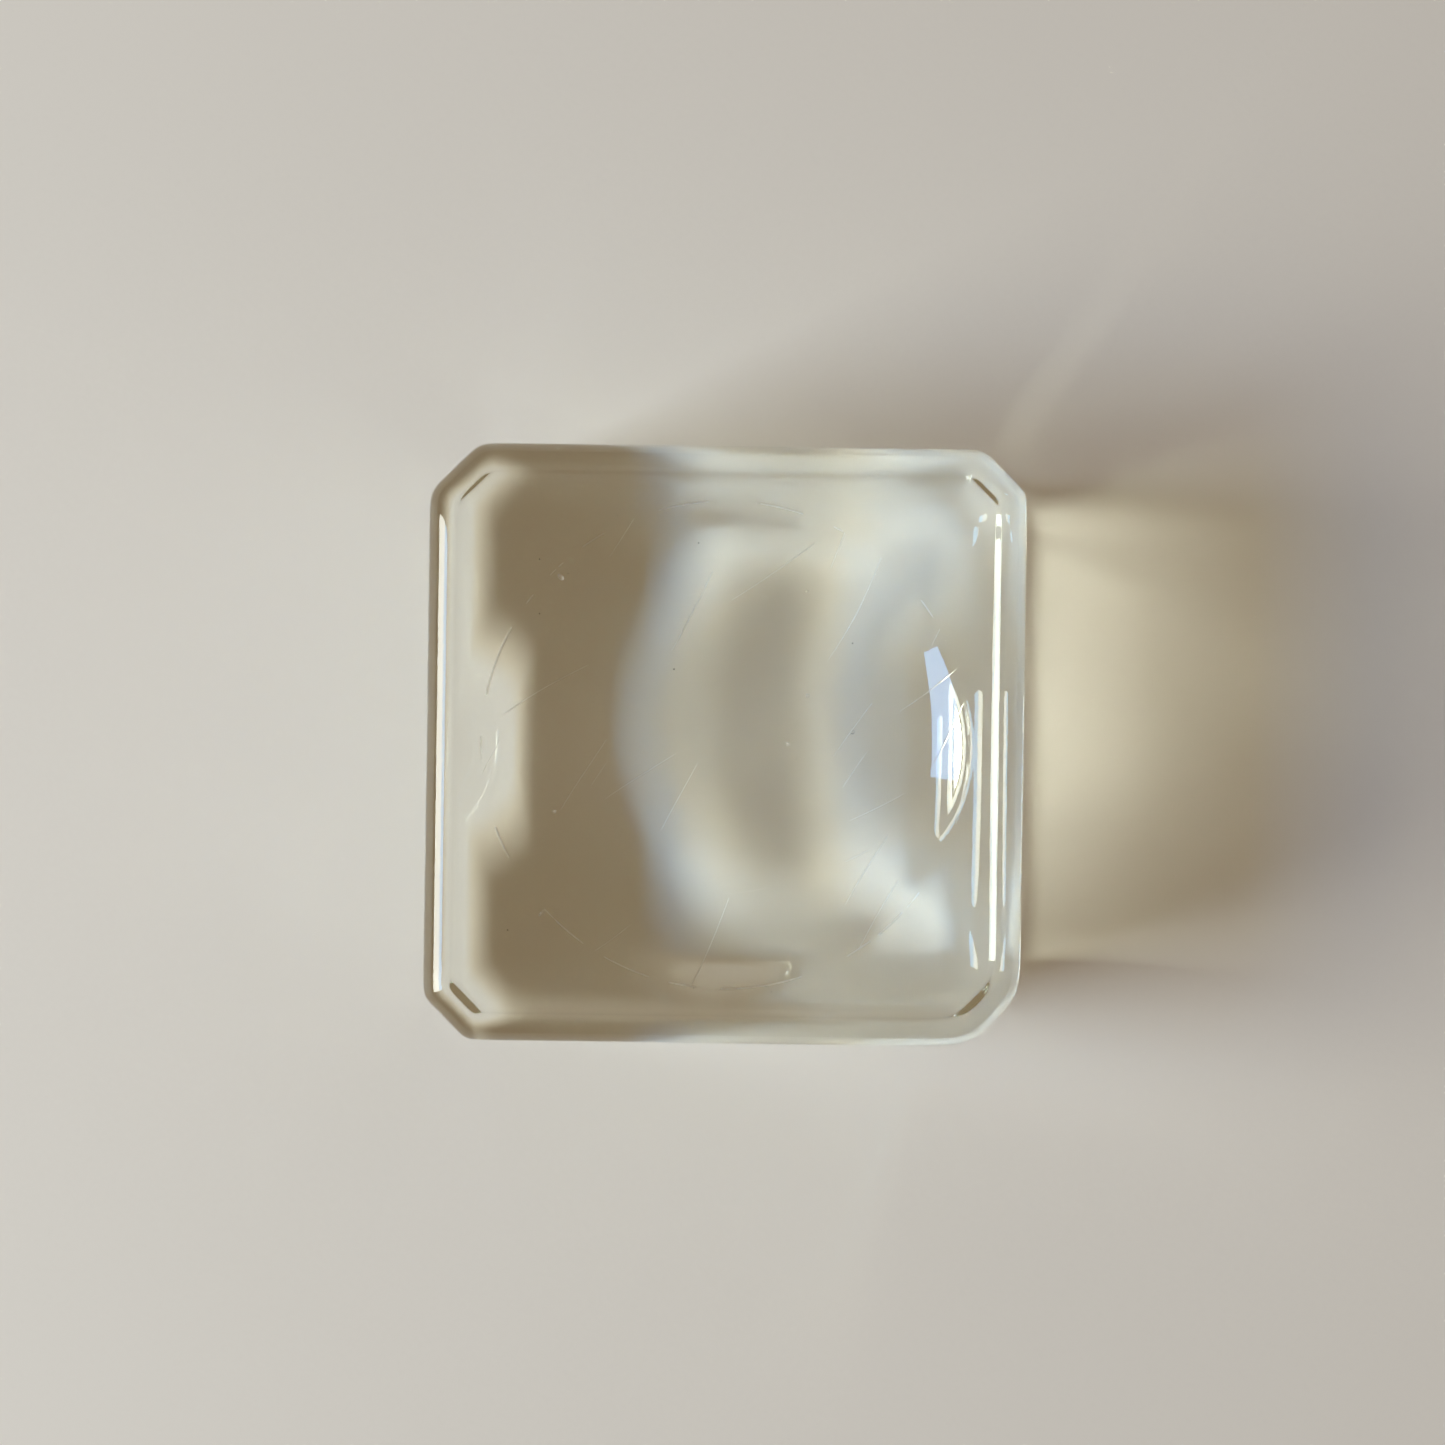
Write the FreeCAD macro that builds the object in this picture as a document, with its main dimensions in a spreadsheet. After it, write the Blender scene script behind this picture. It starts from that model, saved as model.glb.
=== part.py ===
"""Clear pressed-glass paperweight: one block with a rounded foot, cut corners and a shallow round dish."""

import math
import os

import FreeCAD
import Part
import Sketcher
from FreeCAD import Vector

# Every driving size in millimetres.
SIZES = [
    ("block_width", 60.0, "flat to flat across the square block"),
    ("block_height", 32.0, "table to top face"),
    ("corner_cut", 4.8, "leg of the cut taken off each upright corner"),
    ("corner_rounding", 3.0, "radius on the upright edges left by the cuts"),
    ("foot_width", 4.2, "how far in from the walls the sloping foot is cut"),
    ("foot_height", 2.0, "how far up the walls the sloping foot is cut"),
    ("heel_rounding", 2.1, "radius where the walls turn into the foot"),
    ("sole_rounding", 12.5, "broad radius where the foot turns into the base"),
    ("top_rounding", 3.1, "radius between walls and top face"),
    ("dish_depth", 6.1, "top face to the lowest point of the dish"),
    ("dish_radius", 50.0, "spherical radius of the dish floor"),
    ("lip_radius", 7.5, "soft roll from the top face into the dish"),
    ("cutter_rise", 2.0, "height of the dish cutter above the top face"),
]

doc = FreeCAD.newDocument("paperweight")
sheet = doc.addObject("Spreadsheet::Sheet", "Sizes")
for row, (name, value, meaning) in enumerate(SIZES, start=1):
    sheet.set("A%d" % row, name)
    sheet.set("B%d" % row, "%g" % value)
    sheet.set("C%d" % row, meaning)
    sheet.setAlias("B%d" % row, name)
doc.recompute()
size = {name: value for name, value, meaning in SIZES}

half = size["block_width"] / 2
height = size["block_height"]


def plane(body, role):
    """One of the body's own origin planes."""
    for feature in body.Origin.OriginFeatures:
        if feature.Role == role:
            return feature
    raise ValueError("no plane called %s" % role)


def add_sketch(body, name, role):
    """An empty sketch lying on an origin plane of the body."""
    sketch = body.newObject("Sketcher::SketchObject", name)
    sketch.AttachmentSupport = [(plane(body, role), "")]
    sketch.MapMode = "FlatFace"
    return sketch


def drive(sketch, constraint, name, expression):
    """Add a named dimension to the sketch and bind it to the sheet."""
    index = sketch.addConstraint(constraint)
    sketch.renameConstraint(index, name)
    sketch.setExpression("Constraints.%s" % name, expression)


def draw_plan(body):
    """Square with four cut corners, centred on the origin."""
    sketch = add_sketch(body, "PlanSketch", "XY_Plane")
    near = half - size["corner_cut"]
    corners = [
        (near, -half), (half, -near), (half, near), (near, half),
        (-near, half), (-half, near), (-half, -near), (-near, -half),
    ]
    count = len(corners)
    for index, start in enumerate(corners):
        end = corners[(index + 1) % count]
        sketch.addGeometry(Part.LineSegment(Vector(*start, 0), Vector(*end, 0)), False)
    for index in range(count):
        sketch.addConstraint(Sketcher.Constraint("Coincident", index, 2, (index + 1) % count, 1))
    # Line 0 is the first cut; odd lines are the straight sides.
    for index in (1, 5):
        sketch.addConstraint(Sketcher.Constraint("Vertical", index))
    for index in (3, 7):
        sketch.addConstraint(Sketcher.Constraint("Horizontal", index))
    # Each dimension runs from the origin to one end of a cut.
    reach = "Sizes.block_width / 2"
    inner = "Sizes.block_width / 2 - Sizes.corner_cut"
    for index, (x, y) in enumerate(corners):
        along = "DistanceX" if abs(x) < abs(y) else "DistanceY"
        value = x if along == "DistanceX" else y
        ends = (-1, 1, index, 1) if value > 0 else (index, 1, -1, 1)
        dimension = Sketcher.Constraint(along, *ends, abs(value))
        drive(sketch, dimension, "cut_end_%d" % index, inner)
    for index, along in ((1, "DistanceX"), (3, "DistanceY"), (5, "DistanceX"), (7, "DistanceY")):
        ends = (-1, 1, index, 1) if index in (1, 3) else (index, 1, -1, 1)
        drive(sketch, Sketcher.Constraint(along, *ends, half), "side_%d" % index, reach)
    return sketch


def draw_dish(body):
    """Half section of the dish cutter: spherical floor, rolled lip, then up and back to the axis."""
    sketch = add_sketch(body, "DishSketch", "XZ_Plane")
    floor = height - size["dish_depth"]
    ball_centre = floor + size["dish_radius"]
    lip_centre = height - size["lip_radius"]
    reach = size["dish_radius"] + size["lip_radius"]
    rise = ball_centre - lip_centre
    rim = math.sqrt(reach ** 2 - rise ** 2)
    share = size["dish_radius"] / reach
    joint = (rim * share, ball_centre - rise * share)
    above = height + size["cutter_rise"]
    ball = Part.Circle(Vector(0, ball_centre, 0), Vector(0, 0, 1), size["dish_radius"])
    ball_end = math.atan2(joint[1] - ball_centre, joint[0])
    lip = Part.Circle(Vector(rim, lip_centre, 0), Vector(0, 0, 1), size["lip_radius"])
    lip_end = math.atan2(joint[1] - lip_centre, joint[0] - rim)
    sketch.addGeometry(Part.ArcOfCircle(ball, -math.pi / 2, ball_end), False)
    sketch.addGeometry(Part.ArcOfCircle(lip, math.pi / 2, lip_end), False)
    sketch.addGeometry(Part.LineSegment(Vector(rim, height, 0), Vector(rim, above, 0)), False)
    sketch.addGeometry(Part.LineSegment(Vector(rim, above, 0), Vector(0, above, 0)), False)
    sketch.addGeometry(Part.LineSegment(Vector(0, above, 0), Vector(0, floor, 0)), False)
    # The two arcs meet without a crease; the lip leaves the top face level.
    sketch.addConstraint(Sketcher.Constraint("Tangent", 0, 2, 1, 2))
    sketch.addConstraint(Sketcher.Constraint("Coincident", 1, 1, 2, 1))
    sketch.addConstraint(Sketcher.Constraint("Coincident", 2, 2, 3, 1))
    sketch.addConstraint(Sketcher.Constraint("Coincident", 3, 2, 4, 1))
    sketch.addConstraint(Sketcher.Constraint("Coincident", 4, 2, 0, 1))
    sketch.addConstraint(Sketcher.Constraint("Vertical", 2))
    sketch.addConstraint(Sketcher.Constraint("Horizontal", 3))
    sketch.addConstraint(Sketcher.Constraint("PointOnObject", 4, 2, -2))
    sketch.addConstraint(Sketcher.Constraint("PointOnObject", 4, 1, -2))
    sketch.addConstraint(Sketcher.Constraint("PointOnObject", 0, 3, -2))
    sketch.addConstraint(Sketcher.Constraint("Vertical", 1, 3, 1, 1))
    drive(sketch, Sketcher.Constraint("Radius", 0, size["dish_radius"]), "ball", "Sizes.dish_radius")
    drive(sketch, Sketcher.Constraint("Radius", 1, size["lip_radius"]), "lip", "Sizes.lip_radius")
    drive(sketch, Sketcher.Constraint("DistanceY", -1, 1, 1, 1, height), "top", "Sizes.block_height")
    drive(sketch, Sketcher.Constraint("DistanceY", -1, 1, 4, 2, floor), "floor",
          "Sizes.block_height - Sizes.dish_depth")
    drive(sketch, Sketcher.Constraint("DistanceY", -1, 1, 3, 1, above), "above",
          "Sizes.block_height + Sizes.cutter_rise")
    return sketch


def edge_names(shape, wanted):
    """Names of the edges whose bounding box passes the test."""
    return ["Edge%d" % index for index, edge in enumerate(shape.Edges, start=1) if wanted(edge.BoundBox)]


def add_fillet(body, name, wanted, expression):
    """Round the chosen edges of the body as it stands, with a radius from the sheet."""
    base = body.Tip
    edges = edge_names(base.Shape, wanted)
    fillet = body.newObject("PartDesign::Fillet", name)
    fillet.Base = (base, edges)
    fillet.setExpression("Radius", expression)
    doc.recompute()
    return fillet


def add_foot(body):
    """Cut the slope that the foot leans on, wider than it is high."""
    base = body.Tip
    edges = edge_names(base.Shape, lambda box: box.ZMax < NEARLY)
    foot = body.newObject("PartDesign::Chamfer", "FootSlope")
    foot.Base = (base, edges)
    foot.ChamferType = "Two distances"
    foot.setExpression("Size", "Sizes.foot_height")
    foot.setExpression("Size2", "Sizes.foot_width")
    doc.recompute()
    return foot


NEARLY = 1e-4
glass = doc.addObject("PartDesign::Body", "glass_block")
glass.Label = "glass_block"

block = glass.newObject("PartDesign::Pad", "Block")
block.Profile = draw_plan(glass)
block.setExpression("Length", "Sizes.block_height")
doc.recompute()

# The foot comes first, then the top, then the upright edges that run through both. The foot is
# wider than it is high: a slope whose two edges are rolled into the base and the walls.
add_foot(glass)
add_fillet(glass, "SoleRounding", lambda box: box.ZMax < NEARLY, "Sizes.sole_rounding")
add_fillet(glass, "HeelRounding",
           lambda box: box.ZLength < NEARLY and abs(box.ZMin - size["foot_height"]) < NEARLY,
           "Sizes.heel_rounding")
add_fillet(glass, "TopRounding", lambda box: box.ZMin > height - NEARLY, "Sizes.top_rounding")
add_fillet(glass, "CornerRounding", lambda box: box.ZLength > height / 2, "Sizes.corner_rounding")

before_dish = glass.Shape.Volume
dish = glass.newObject("PartDesign::Groove", "Dish")
dish.Profile = draw_dish(glass)
dish.ReferenceAxis = (dish.Profile[0], ["V_Axis"])
dish.Angle = 360.0
doc.recompute()

for item in doc.Objects:
    if "Invalid" in item.State or "Error" in item.State:
        raise RuntimeError("%s did not recompute" % item.Name)
    if hasattr(item, "Shape") and (item.Shape.isNull() or not item.Shape.isValid()):
        raise RuntimeError("%s has a bad shape" % item.Name)
for sketch in doc.findObjects("Sketcher::SketchObject"):
    if not sketch.FullyConstrained:
        raise RuntimeError("%s is not fully constrained" % sketch.Name)
if glass.Shape.Volume >= before_dish:
    raise RuntimeError("the dish removed no glass")
if len(glass.Shape.Solids) != 1:
    raise RuntimeError("the block is not one solid")

glass.Placement = FreeCAD.Placement()
os.makedirs("parts", exist_ok=True)
glass.Shape.exportStep("parts/glass_block.step")
print("glass_block", glass.Shape.BoundBox, round(glass.Shape.Volume, 1))
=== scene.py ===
"""Looks for a clear pressed-glass paperweight: one cast block on a pale desk, by a window."""

import math

import bpy
from mathutils import Matrix, Vector


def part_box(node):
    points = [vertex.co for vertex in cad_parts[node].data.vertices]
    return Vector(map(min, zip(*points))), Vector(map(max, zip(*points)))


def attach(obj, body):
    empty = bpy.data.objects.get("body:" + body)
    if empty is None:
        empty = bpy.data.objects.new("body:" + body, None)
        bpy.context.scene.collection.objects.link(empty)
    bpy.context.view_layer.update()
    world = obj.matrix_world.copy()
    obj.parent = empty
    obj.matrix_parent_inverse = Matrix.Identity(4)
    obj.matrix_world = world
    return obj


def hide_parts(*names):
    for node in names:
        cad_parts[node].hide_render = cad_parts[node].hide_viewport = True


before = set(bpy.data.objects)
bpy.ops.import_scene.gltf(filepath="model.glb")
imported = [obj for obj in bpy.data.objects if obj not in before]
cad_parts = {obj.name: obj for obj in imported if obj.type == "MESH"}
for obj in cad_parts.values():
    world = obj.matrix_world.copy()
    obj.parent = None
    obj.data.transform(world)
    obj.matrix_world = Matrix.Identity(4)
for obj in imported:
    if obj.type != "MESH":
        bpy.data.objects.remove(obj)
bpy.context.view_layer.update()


# The glass block: one gob of clear soda glass, pressed in a square mould by a plunger that leaves
# the round dish, then fire polished, so the surface runs very slightly uneven. A few seed bubbles
# are trapped in the thick of it, and use has scratched the dish and rubbed its lip.

MM = 0.001
block_low, block_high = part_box("glass_block")
HALF_WIDTH = (block_high.x - block_low.x) / 2
HEIGHT = block_high.z - block_low.z
FOOT_WIDTH = 7.1 * MM
FOOT_HEIGHT = 3.4 * MM
TOP_ROUNDING = 3.1 * MM
DISH_DEPTH = 6.1 * MM
DISH_RADIUS = 50.0 * MM
DISH_EDGE = 23.2 * MM

# Each corner came out of the mould a little different: (leg of the cut, crispness of its edges).
CORNERS = {
    "Back Left": (5.0 * MM, 92.0),
    "Back Right": (4.4 * MM, 120.0),
    "Front Right": (5.2 * MM, 48.0),
    "Front Left": (4.4 * MM, 125.0),
}

# Rows of points in each part of the half section.
BASE_ROWS = 6
FOOT_ROWS = 30
WALL_ROWS = 14
TOP_ROWS = 18
LAND_ROWS = 30
DISH_ROWS = 60
# Power that draws the rows of the base out to the foot, and those of the land in to the dish.
ROW_EASING = 0.7


def block_profile():
    """Half section from the middle of the base, up the wall and over to the middle of the dish.

    Each row is (height, inset from the walls, radius of a circle, how far the row has turned from
    the plan into that circle, how much of the dish's fall it takes).
    """
    rows = []
    for step in range(BASE_ROWS):
        roundness = 1.0 - (step / BASE_ROWS) ** ROW_EASING
        rows.append((0.0, FOOT_WIDTH, 0.0, roundness, 0.0))
    for step in range(FOOT_ROWS + 1):
        angle = math.pi / 2 * step / FOOT_ROWS
        inset = FOOT_WIDTH * (1 - math.sin(angle))
        rows.append((FOOT_HEIGHT * (1 - math.cos(angle)), inset, 0.0, 0.0, 0.0))
    wall = HEIGHT - FOOT_HEIGHT - TOP_ROUNDING
    for step in range(1, WALL_ROWS):
        rows.append((FOOT_HEIGHT + wall * step / WALL_ROWS, 0.0, 0.0, 0.0, 0.0))
    for step in range(TOP_ROWS + 1):
        angle = math.pi / 2 * step / TOP_ROWS
        inset = TOP_ROUNDING * (1 - math.cos(angle))
        fall_share = math.sin(angle) ** 2
        rows.append((HEIGHT - TOP_ROUNDING * (1 - math.sin(angle)), inset, 0.0, 0.0, fall_share))
    # The land and the dish are level here: the tree presses the ball into them.
    for step in range(1, LAND_ROWS + 1):
        roundness = (step / LAND_ROWS) ** ROW_EASING
        rows.append((HEIGHT, TOP_ROUNDING, DISH_EDGE, roundness, 1.0))
    for step in range(1, DISH_ROWS + 1):
        rows.append((HEIGHT, TOP_ROUNDING, DISH_EDGE * (1 - step / DISH_ROWS), 1.0, 1.0))
    return rows


def profile_object():
    """The half section as a chain of points that carry what each row needs."""
    rows = block_profile()
    mesh = bpy.data.meshes.new("cast_glass")
    chain = [(index, index + 1) for index in range(len(rows) - 1)]
    mesh.from_pydata([(0.0, 0.0, row[0]) for row in rows], chain, [])
    for column, name in enumerate(("inset", "dish_circle", "roundness", "dished"), start=1):
        layer = mesh.attributes.new(name, "FLOAT", "POINT")
        layer.data.foreach_set("value", [row[column] for row in rows])
    piece = bpy.data.objects.new("cast_glass", mesh)
    bpy.context.scene.collection.objects.link(piece)
    return piece


class Tree:
    """Short calls for making and joining the nodes of one tree."""

    def __init__(self, tree):
        self.tree = tree

    def plug(self, socket, value):
        """Join an output to a socket, or set the socket's own value."""
        if isinstance(value, bpy.types.NodeSocket):
            self.tree.links.new(value, socket)
        else:
            socket.default_value = value

    def node(self, kind, values=(), **settings):
        """A node with its settings, then its inputs by name or place."""
        made = self.tree.nodes.new(kind)
        for name, value in settings.items():
            setattr(made, name, value)
        for place, value in dict(values).items():
            self.plug(made.inputs[place], value)
        return made

    def math(self, operation, *values, clamp=False):
        """The output of one Math node."""
        values = dict(enumerate(values))
        return self.node("ShaderNodeMath", values, operation=operation, use_clamp=clamp).outputs[0]

    def mix(self, factor, low, high):
        """A plain number between two others."""
        values = {0: factor, 2: low, 3: high}
        return self.node("ShaderNodeMix", values, data_type="FLOAT").outputs[0]

    def noise(self, vector, scale, detail=2.0):
        """Plain noise, 0 to 1."""
        values = {"Vector": vector, "Scale": scale, "Detail": detail}
        return self.node("ShaderNodeTexNoise", values).outputs[0]

    def above(self, value, edge, softness):
        """1 where the value has passed the edge by the softness, 0 below the edge."""
        values = {0: value, 1: edge, 2: edge + softness}
        return self.node("ShaderNodeMapRange", values).outputs[0]


PRESS_INPUTS = [
    ("Profile", "Geometry"),
    ("Half Width", "Float"),
    *((corner, "Float") for corner in CORNERS),
    *((corner + " Crispness", "Float") for corner in CORNERS),
    ("Steps Around", "Int"),
    ("Dish Depth", "Float"),
    ("Dish Radius", "Float"),
    ("Dish Edge", "Float"),
    ("Crooked", "Float"),
    ("Wave Height", "Float"),
    ("Wave Length", "Float"),
    ("Still Foot", "Float"),
    ("Bubbles", "Int"),
    ("Smallest Bubble", "Float"),
    ("Largest Bubble", "Float"),
    ("Bubble Zone Low", "Vector"),
    ("Bubble Zone High", "Vector"),
    ("Seed", "Int"),
    ("Glass", "Material"),
]

# How strongly the points round the plan gather at the corners, from 0 to 1.
GATHER = 0.8
# The surface waves: how much finer noise they carry, and how softly they die out at the foot.
WAVE_DETAIL = 1.0
WAVE_ROUGHNESS = 0.35
FOOT_SOFTNESS = 0.5
BUBBLE_SUBDIVISIONS = 3
# Added to the seed, so bubble sizes don't follow bubble places.
BUBBLE_SIZE_SEED = 7
WELD_DISTANCE = 1e-7


def direction(t, given, column):
    """Cosine and sine of the turn that a column of points stands at, gathered at the corners."""
    quarter = t.math("MULTIPLY", t.math("DIVIDE", column, given["Steps Around"]), 4.0)
    whole = t.math("FLOOR", quarter)
    part = t.math("SUBTRACT", quarter, whole)
    shift = t.math("SINE", t.math("MULTIPLY", part, 2 * math.pi))
    eased = t.math("MULTIPLY_ADD", shift, GATHER / (2 * math.pi), part)
    angle = t.math("MULTIPLY", t.math("ADD", whole, eased), math.pi / 2)
    return t.math("COSINE", angle), t.math("SINE", angle)


def plan_reach(t, given, across, along, inset):
    """Distance from the middle to the plan, inset from the walls.

    The flat sides and the cuts are blended by a high power, so the edges between them stay soft.
    """
    right = t.math("GREATER_THAN", across, 0.0)
    back = t.math("GREATER_THAN", along, 0.0)

    def of_corner(suffix):
        """The size that belongs to the corner this direction points at."""
        front_side = t.mix(right, given["Front Left" + suffix], given["Front Right" + suffix])
        back_side = t.mix(right, given["Back Left" + suffix], given["Back Right" + suffix])
        return t.mix(back, front_side, back_side)

    flat = t.math("SUBTRACT", given["Half Width"], inset)
    to_cut = t.math("SUBTRACT", t.math("MULTIPLY", given["Half Width"], 2.0), of_corner(""))
    cut = t.math("SUBTRACT", t.math("DIVIDE", to_cut, math.sqrt(2)), inset)
    power = of_corner(" Crispness")
    cos_size = t.math("ABSOLUTE", across)
    sin_size = t.math("ABSOLUTE", along)
    slant = t.math("DIVIDE", t.math("ADD", cos_size, sin_size), math.sqrt(2))
    cut_share = t.math("DIVIDE", flat, cut)
    sides = t.math("ADD", t.math("POWER", cos_size, power), t.math("POWER", sin_size, power))
    cuts = t.math("POWER", t.math("MULTIPLY", slant, cut_share), power)
    blended = t.math("POWER", t.math("ADD", sides, cuts), t.math("DIVIDE", -1.0, power))
    return t.math("MULTIPLY", flat, blended)


def dish_fall(t, given, reach, across):
    """How far the top is pressed down at this reach, as a negative height.

    The dish is part of a ball; past its edge a lip rolls out level, with no crease between. The
    plunger came down a little crooked, so towards the left the ball ends sooner in a longer lip.
    """
    half_crooked = t.math("MULTIPLY", given["Crooked"], 0.5)
    shortened = t.math("MULTIPLY", t.math("SUBTRACT", 1.0, across), half_crooked)
    edge = t.math("SUBTRACT", given["Dish Edge"], shortened)
    ball_middle = t.math("SUBTRACT", given["Dish Radius"], given["Dish Depth"])
    ball_square = t.math("POWER", given["Dish Radius"], 2.0)

    def ball_height(radius):
        """Height of the ball's underside over the top face, this far from the middle."""
        square = t.math("SUBTRACT", ball_square, t.math("POWER", radius, 2.0))
        return t.math("SUBTRACT", ball_middle, t.math("SQRT", square))

    edge_height = ball_height(edge)
    slope = t.math("DIVIDE", edge, t.math("SUBTRACT", ball_middle, edge_height))
    lip = t.math("DIVIDE", t.math("MULTIPLY", edge_height, -2.0), slope)
    inside = t.math("MINIMUM", reach, edge)
    beyond = t.math("MINIMUM", t.math("SUBTRACT", reach, inside), lip)
    levelling = t.math("DIVIDE", t.math("POWER", beyond, 2.0), t.math("MULTIPLY", lip, 2.0))
    climb = t.math("MULTIPLY", slope, t.math("SUBTRACT", beyond, levelling))
    return t.math("ADD", ball_height(inside), climb)


def polish_offset(t, given):
    """Fire polish: the surface sinks by a few hundredths of a millimetre in slow waves."""
    position = t.node("GeometryNodeInputPosition").outputs[0]
    wave = t.node(
        "ShaderNodeTexNoise",
        {
            "Vector": position,
            "W": given["Seed"],
            "Scale": t.math("DIVIDE", 1.0, given["Wave Length"]),
            "Detail": WAVE_DETAIL,
            "Roughness": WAVE_ROUGHNESS,
        },
        noise_dimensions="4D",
    ).outputs[0]
    lift = t.node("ShaderNodeSeparateXYZ", {0: position}).outputs[2]
    over_foot = t.math("DIVIDE", lift, given["Still Foot"])
    free = t.math("SMOOTH_MIN", over_foot, 1.0, FOOT_SOFTNESS)
    sink = t.math("MULTIPLY", t.math("MULTIPLY", wave, given["Wave Height"]), free)
    normal = t.node("GeometryNodeInputNormal").outputs[0]
    inward = {0: normal, "Scale": t.math("MULTIPLY", sink, -1.0)}
    return t.node("ShaderNodeVectorMath", inward, operation="SCALE").outputs[0]


def seed_bubbles(t, given):
    """Small balls scattered in the thick of the glass, as instances."""
    place = t.node(
        "FunctionNodeRandomValue",
        {0: given["Bubble Zone Low"], 1: given["Bubble Zone High"], "Seed": given["Seed"]},
        data_type="FLOAT_VECTOR",
    ).outputs[0]
    spots = t.node("GeometryNodePoints", {"Count": given["Bubbles"], "Position": place})
    size_seed = t.math("ADD", given["Seed"], BUBBLE_SIZE_SEED)
    radius = t.node(
        "FunctionNodeRandomValue",
        {2: given["Smallest Bubble"], 3: given["Largest Bubble"], "Seed": size_seed},
        data_type="FLOAT",
    ).outputs[1]
    ball = t.node("GeometryNodeMeshIcoSphere", {"Radius": 1.0, "Subdivisions": BUBBLE_SUBDIVISIONS})
    return t.node(
        "GeometryNodeInstanceOnPoints",
        {"Points": spots.outputs[0], "Instance": ball.outputs[0], "Scale": radius},
    ).outputs[0]


def press_tree():
    """Turns the half section round the cut-corner plan, then adds polish waves and seed bubbles."""
    tree = bpy.data.node_groups.new("press_glass_block", "GeometryNodeTree")
    tree.is_modifier = True
    for name, kind in PRESS_INPUTS:
        tree.interface.new_socket(name, in_out="INPUT", socket_type="NodeSocket" + kind)
    tree.interface.new_socket("Block", in_out="OUTPUT", socket_type="NodeSocketGeometry")

    # A grid with one row of points for each point of the profile.
    t = Tree(tree)
    given = t.node("NodeGroupInput").outputs
    size = t.node("GeometryNodeAttributeDomainSize", {0: given["Profile"]}, component="MESH")
    row_length = t.math("ADD", given["Steps Around"], 1)
    grid = t.node(
        "GeometryNodeMeshGrid",
        {"Vertices X": size.outputs["Point Count"], "Vertices Y": row_length},
    )
    # The half added to the index keeps the division clear of a whole number.
    index = t.node("GeometryNodeInputIndex").outputs[0]
    row = t.math("FLOOR", t.math("DIVIDE", t.math("ADD", index, 0.5), row_length))
    column = t.math("SUBTRACT", index, t.math("MULTIPLY", row, row_length))

    def from_row(value, kind):
        """What the profile's point for this row has."""
        wanted = {"Geometry": given["Profile"], "Value": value, "Index": row}
        return t.node("GeometryNodeSampleIndex", wanted, data_type=kind, domain="POINT").outputs[0]

    def carried(name):
        """The attribute that the profile's point for this row carries."""
        named = t.node("GeometryNodeInputNamedAttribute", {"Name": name}, data_type="FLOAT")
        return from_row(named.outputs[0], "FLOAT")

    # Where each point lies: round the plan or a circle, at the row's height, pressed by the dish.
    across, along = direction(t, given, column)
    plan = plan_reach(t, given, across, along, carried("inset"))
    reach = t.mix(carried("roundness"), plan, carried("dish_circle"))
    row_place = from_row(t.node("GeometryNodeInputPosition").outputs[0], "FLOAT_VECTOR")
    row_height = t.node("ShaderNodeSeparateXYZ", {0: row_place}).outputs[2]
    pressed = t.math("MULTIPLY", dish_fall(t, given, reach, across), carried("dished"))
    place = t.node(
        "ShaderNodeCombineXYZ",
        {
            0: t.math("MULTIPLY", reach, across),
            1: t.math("MULTIPLY", reach, along),
            2: t.math("ADD", row_height, pressed),
        },
    ).outputs[0]

    wrapped = t.node(
        "GeometryNodeSetPosition", {"Geometry": grid.outputs["Mesh"], "Position": place}
    )
    outward = t.node("GeometryNodeFlipFaces", {"Mesh": wrapped.outputs[0]})
    closed = t.node(
        "GeometryNodeMergeByDistance", {"Geometry": outward.outputs[0], "Distance": WELD_DISTANCE}
    )
    polished = t.node(
        "GeometryNodeSetPosition",
        {"Geometry": closed.outputs[0], "Offset": polish_offset(t, given)},
    )
    joined = t.node("GeometryNodeJoinGeometry", {0: seed_bubbles(t, given)})
    t.plug(joined.inputs[0], polished.outputs[0])
    real = t.node("GeometryNodeRealizeInstances", {0: joined.outputs[0]})
    smooth = t.node(
        "GeometryNodeSetShadeSmooth", {"Geometry": real.outputs[0], "Shade Smooth": True}
    )
    coated = t.node(
        "GeometryNodeSetMaterial", {"Geometry": smooth.outputs[0], "Material": given["Glass"]}
    )
    t.plug(t.node("NodeGroupOutput").inputs[0], coated.outputs[0])
    return tree


GLASS_IOR = 1.52
GLASS_TINT = (0.90, 0.93, 0.78, 1.0)
TINT_DENSITY = 9.5
# Wear is on the top and in the dish; it fades out between these depths under the top face.
WEAR_GONE = 8.5 * MM
WEAR_FULL = 7.5 * MM
WEAR_ROUGHNESS = 0.42
WEAR_BUMP = 0.5
WEAR_DEPTH = 0.02 * MM
# The rubbed ring on the lip, and how patchy it is.
RUB_RADIUS = DISH_EDGE + 1.0 * MM
RUB_WIDTH = 0.04 * MM
RUB_FADE = 0.12 * MM
RUB_PATCH = 3.0 * MM
RUB_SPARSE = 0.44
RUB_SPARSE_FADE = 0.12
# Sets of scratches: (turn, spacing of the lines, length of a line, how sparse they are).
SCRATCH_SETS = [
    (-62.0, 3.1 * MM, 17.0 * MM, 0.585),
    (-33.0, 3.9 * MM, 22.0 * MM, 0.60),
]
SCRATCH_WIDTH = 0.016 * MM
SCRATCH_FADE = 0.05 * MM
SCRATCH_END_FADE = 0.05
# Lines bend by this share of their spacing, over about this length.
SCRATCH_DRIFT = 1.5
SCRATCH_DRIFT_LENGTH = 24.0 * MM
# A line lies anywhere in this share of its lane, and keeps this share clear on each side.
LANE_PLAY = 0.8
LANE_MARGIN = 0.1
# How far apart two neighbouring lines read the noise that breaks them up.
LANE_STRIDE = 7.3
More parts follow.
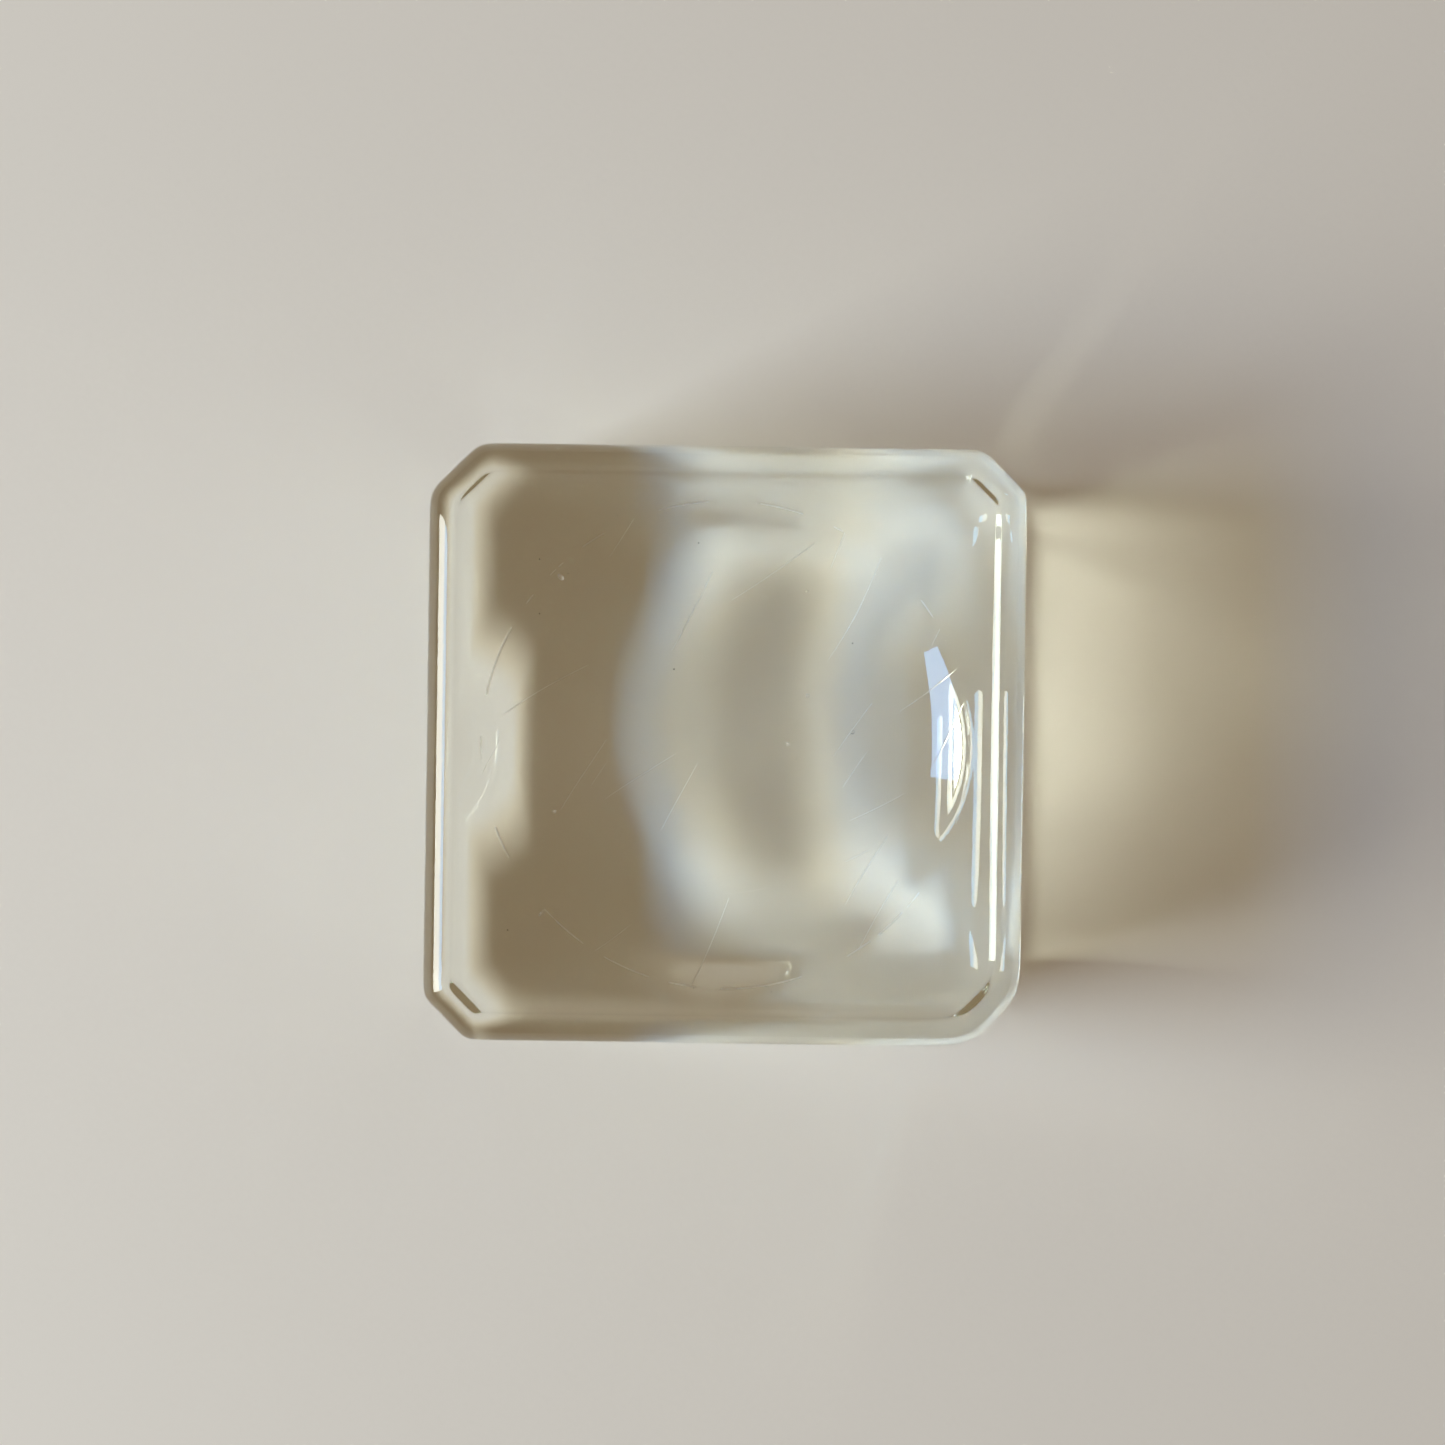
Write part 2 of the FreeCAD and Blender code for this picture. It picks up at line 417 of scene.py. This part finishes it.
# Grit: one cell to a spacing, the largest speck as a share of it, and the share of empty cells.
GRIT_SPACING = 2.6 * MM
LARGEST_GRIT = 0.042
GRIT_RARITY = 0.74
GRIT_COLOUR = (0.30, 0.27, 0.23, 1.0)


def scratch_lines(t, place):
    """Fine scratches: each set runs its own way, one line to a lane, broken into short lengths."""
    scratches = 0.0
    for turn, spacing, length, sparse in SCRATCH_SETS:
        turned = t.node(
            "ShaderNodeVectorRotate",
            {"Vector": place, "Angle": math.radians(turn)},
            rotation_type="Z_AXIS",
        ).outputs[0]
        run = t.node("ShaderNodeSeparateXYZ", {0: turned}).outputs
        wander = t.noise(turned, 1 / SCRATCH_DRIFT_LENGTH, 0.0)
        drift = t.math("MULTIPLY", wander, SCRATCH_DRIFT)
        lane_place = t.math("ADD", t.math("DIVIDE", run[1], spacing), drift)
        lane = t.math("FLOOR", lane_place)
        chance = t.node("ShaderNodeTexWhiteNoise", {"W": lane}, noise_dimensions="1D")
        middle = t.math("MULTIPLY_ADD", chance.outputs["Value"], LANE_PLAY, LANE_MARGIN)
        aside = t.math("SUBTRACT", t.math("SUBTRACT", lane_place, lane), middle)
        off_line = t.math("MULTIPLY", t.math("ABSOLUTE", aside), spacing)
        line = t.math("SUBTRACT", 1.0, t.above(off_line, SCRATCH_WIDTH, SCRATCH_FADE))
        step = t.node(
            "ShaderNodeCombineXYZ",
            {0: t.math("DIVIDE", run[0], length), 1: t.math("MULTIPLY", lane, LANE_STRIDE)},
        ).outputs[0]
        piece = t.above(t.noise(step, 1.0, 0.0), sparse, SCRATCH_END_FADE)
        scratches = t.math("MAXIMUM", scratches, t.math("MULTIPLY", line, piece))
    return scratches


def wear_marks(t, place, radius):
    """Scratches inside the lip, and the lip rubbed all round, more in some places than others."""
    off_rim = t.math("ABSOLUTE", t.math("SUBTRACT", radius, RUB_RADIUS))
    rim = t.math("SUBTRACT", 1.0, t.above(off_rim, RUB_WIDTH, RUB_FADE))
    patches = t.above(t.noise(place, 1 / RUB_PATCH, 4.0), RUB_SPARSE, RUB_SPARSE_FADE)
    rubbed = t.math("MULTIPLY", rim, patches)
    inner = t.math("LESS_THAN", radius, RUB_RADIUS)
    return t.math("MAXIMUM", t.math("MULTIPLY", scratch_lines(t, place), inner), rubbed)


def grit_specks(t, place):
    """Grit and tiny chips: a few specks, no two of a size."""
    cells = t.node("ShaderNodeTexVoronoi", {"Vector": place, "Scale": 1 / GRIT_SPACING})
    pick = t.node("ShaderNodeSeparateColor", {0: cells.outputs["Color"]}).outputs
    reach = t.math("MULTIPLY", pick[1], LARGEST_GRIT)
    speck = t.math("LESS_THAN", cells.outputs["Distance"], reach)
    return t.math("MULTIPLY", speck, t.math("GREATER_THAN", pick[0], GRIT_RARITY))


def glass_material():
    """Clear soda glass, faintly straw-coloured in the thick, its top worn by use."""
    material = bpy.data.materials.new("clear_soda_glass")
    material.use_nodes = True
    t = Tree(material.node_tree)
    shader = material.node_tree.nodes["Principled BSDF"]
    shader.inputs["IOR"].default_value = GLASS_IOR
    shader.inputs["Transmission Weight"].default_value = 1.0
    tint = t.node("ShaderNodeVolumeAbsorption", {"Color": GLASS_TINT, "Density": TINT_DENSITY})
    t.plug(material.node_tree.nodes["Material Output"].inputs["Volume"], tint.outputs[0])

    place = t.node("ShaderNodeTexCoord").outputs["Object"]
    axes = t.node("ShaderNodeSeparateXYZ", {0: place}).outputs
    top = t.node(
        "ShaderNodeMapRange",
        {0: axes[2], 1: HEIGHT - WEAR_GONE, 2: HEIGHT - WEAR_FULL},
        interpolation_type="SMOOTHSTEP",
    ).outputs[0]
    level = t.node("ShaderNodeCombineXYZ", {0: axes[0], 1: axes[1]}).outputs[0]
    radius = t.node("ShaderNodeVectorMath", {0: level}, operation="LENGTH").outputs["Value"]

    marks = t.math("MULTIPLY", wear_marks(t, place, radius), top)
    grit = t.math("MULTIPLY", grit_specks(t, place), top)
    colour = t.node(
        "ShaderNodeMix", {0: grit, 6: (1.0, 1.0, 1.0, 1.0), 7: GRIT_COLOUR}, data_type="RGBA"
    ).outputs[2]
    dent = t.node(
        "ShaderNodeBump",
        {"Strength": WEAR_BUMP, "Distance": WEAR_DEPTH, "Height": marks},
        invert=True,
    ).outputs[0]
    t.plug(shader.inputs["Base Color"], colour)
    t.plug(shader.inputs["Roughness"], t.math("MULTIPLY", marks, WEAR_ROUGHNESS, clamp=True))
    t.plug(shader.inputs["Normal"], dent)
    return material


block_settings = {
    "Half Width": HALF_WIDTH,
    "Steps Around": 480,
    "Dish Depth": DISH_DEPTH,
    "Dish Radius": DISH_RADIUS,
    "Dish Edge": DISH_EDGE,
    "Crooked": 1.8 * MM,
    "Wave Height": 0.04 * MM,
    "Wave Length": 9.0 * MM,
    "Still Foot": 3.0 * MM,
    "Bubbles": 7,
    "Smallest Bubble": 0.10 * MM,
    "Largest Bubble": 0.24 * MM,
    "Bubble Zone Low": (-22.0 * MM, -22.0 * MM, 6.0 * MM),
    "Bubble Zone High": (22.0 * MM, 22.0 * MM, 19.0 * MM),
    "Seed": 4,
    "Glass": glass_material(),
}
for corner, (leg, crispness) in CORNERS.items():
    block_settings[corner] = leg
    block_settings[corner + " Crispness"] = crispness

glass_piece = profile_object()
press = glass_piece.modifiers.new("press", "NODES")
press.node_group = press_tree()
for item in press.node_group.interface.items_tree:
    if item.in_out == "INPUT" and item.name in block_settings:
        press[item.identifier] = block_settings[item.name]
bpy.context.view_layer.update()
evaluated = glass_piece.evaluated_get(bpy.context.evaluated_depsgraph_get())
pressed_mesh = bpy.data.meshes.new_from_object(evaluated)
glass_piece.modifiers.clear()
glass_piece.data = pressed_mesh

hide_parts("glass_block")
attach(glass_piece, "root")


# The desk top: a board that the block stands on, painted a pale, slightly warm white. It isn't
# part of the object, and it lies a hair below the base so that the two surfaces don't fight.

DESK_REACH = 2.0
DESK_LEVEL = -0.02 * MM
DESK_PAINT = (0.80, 0.76, 0.70, 1.0)
DESK_ROUGHNESS = 0.6

desk_corners = [(-1, -1), (1, -1), (1, 1), (-1, 1)]
desk_mesh = bpy.data.meshes.new("desk")
desk_mesh.from_pydata(
    [(x * DESK_REACH, y * DESK_REACH, DESK_LEVEL) for x, y in desk_corners], [], [(0, 1, 2, 3)]
)
desk = bpy.data.objects.new("desk", desk_mesh)
bpy.context.scene.collection.objects.link(desk)
desk_paint = bpy.data.materials.new("pale_desk_paint")
desk_paint.use_nodes = True
desk_shader = desk_paint.node_tree.nodes["Principled BSDF"]
desk_shader.inputs["Base Color"].default_value = DESK_PAINT
desk_shader.inputs["Roughness"].default_value = DESK_ROUGHNESS
desk_mesh.materials.append(desk_paint)


# The light: a tall window a metre to the left, drawn as two panes, blue sky above and paler
# daylight below, in a room whose warm walls fill the shade.

WINDOW_DISTANCE = 1.0
WINDOW_NEAR = -0.50
WINDOW_FAR = 0.13
# Each pane: (bottom, top, colour, strength).
PANES = {
    "window_top": (0.76, 1.10, (0.31, 0.57, 1.0), 3.7),
    "window_low": (0.25, 0.76, (0.97, 1.0, 0.92), 4.4),
}
ROOM_COLOUR = (1.0, 0.74, 0.48, 1.0)
ROOM_STRENGTH = 0.25


def window_pane(name, bottom, top, colour, strength):
    """An upright pane that faces +X and gives off pi times its strength from every point."""
    data = bpy.data.lights.new(name, "AREA")
    data.shape = "RECTANGLE"
    data.size = WINDOW_FAR - WINDOW_NEAR
    data.size_y = top - bottom
    data.color = colour
    data.energy = strength * math.pi * data.size * data.size_y * math.pi
    light = bpy.data.objects.new(name, data)
    bpy.context.scene.collection.objects.link(light)
    middle = Vector((-WINDOW_DISTANCE, (WINDOW_NEAR + WINDOW_FAR) / 2, (bottom + top) / 2))
    turn = Matrix(((0, 0, -1), (-1, 0, 0), (0, 1, 0))).to_4x4()
    light.matrix_world = Matrix.Translation(middle) @ turn


for pane, (bottom, top, colour, strength) in PANES.items():
    window_pane(pane, bottom, top, colour, strength)

world = bpy.data.worlds.new("room")
world.use_nodes = True
room = world.node_tree.nodes["Background"]
room.inputs["Color"].default_value = ROOM_COLOUR
room.inputs["Strength"].default_value = ROOM_STRENGTH
scene = bpy.context.scene
scene.world = world
scene.view_settings.view_transform = "Standard"
# Light crosses many faces inside clear glass, and must reach the desk under it undimmed.
scene.cycles.glossy_bounces = 12
scene.cycles.transmission_bounces = 16
scene.cycles.max_bounces = 24
scene.cycles.blur_glossy = 0.0
scene.cycles.sample_clamp_indirect = 0.0


# The camera: held straight above the block, a little off its middle and turned by less than a
# degree, near enough to see a little of each wall through the top.

CAMERA_RISE = 240.0 * MM
TURN = math.radians(0.8)
VIEW_WIDTH = 143.3 * MM
SENSOR_WIDTH = 36.0
AIM = Vector((-0.25 * MM, 2.23 * MM, 0.0))

camera_data = bpy.data.cameras.new("camera")
camera_data.sensor_width = SENSOR_WIDTH
camera_data.lens = camera_data.sensor_width * CAMERA_RISE / VIEW_WIDTH
camera = bpy.data.objects.new("camera", camera_data)
scene.collection.objects.link(camera)
camera.rotation_euler = (0.0, 0.0, TURN)
camera.location = Matrix.Rotation(TURN, 3, "Z") @ AIM + Vector((0.0, 0.0, HEIGHT + CAMERA_RISE))
scene.camera = camera
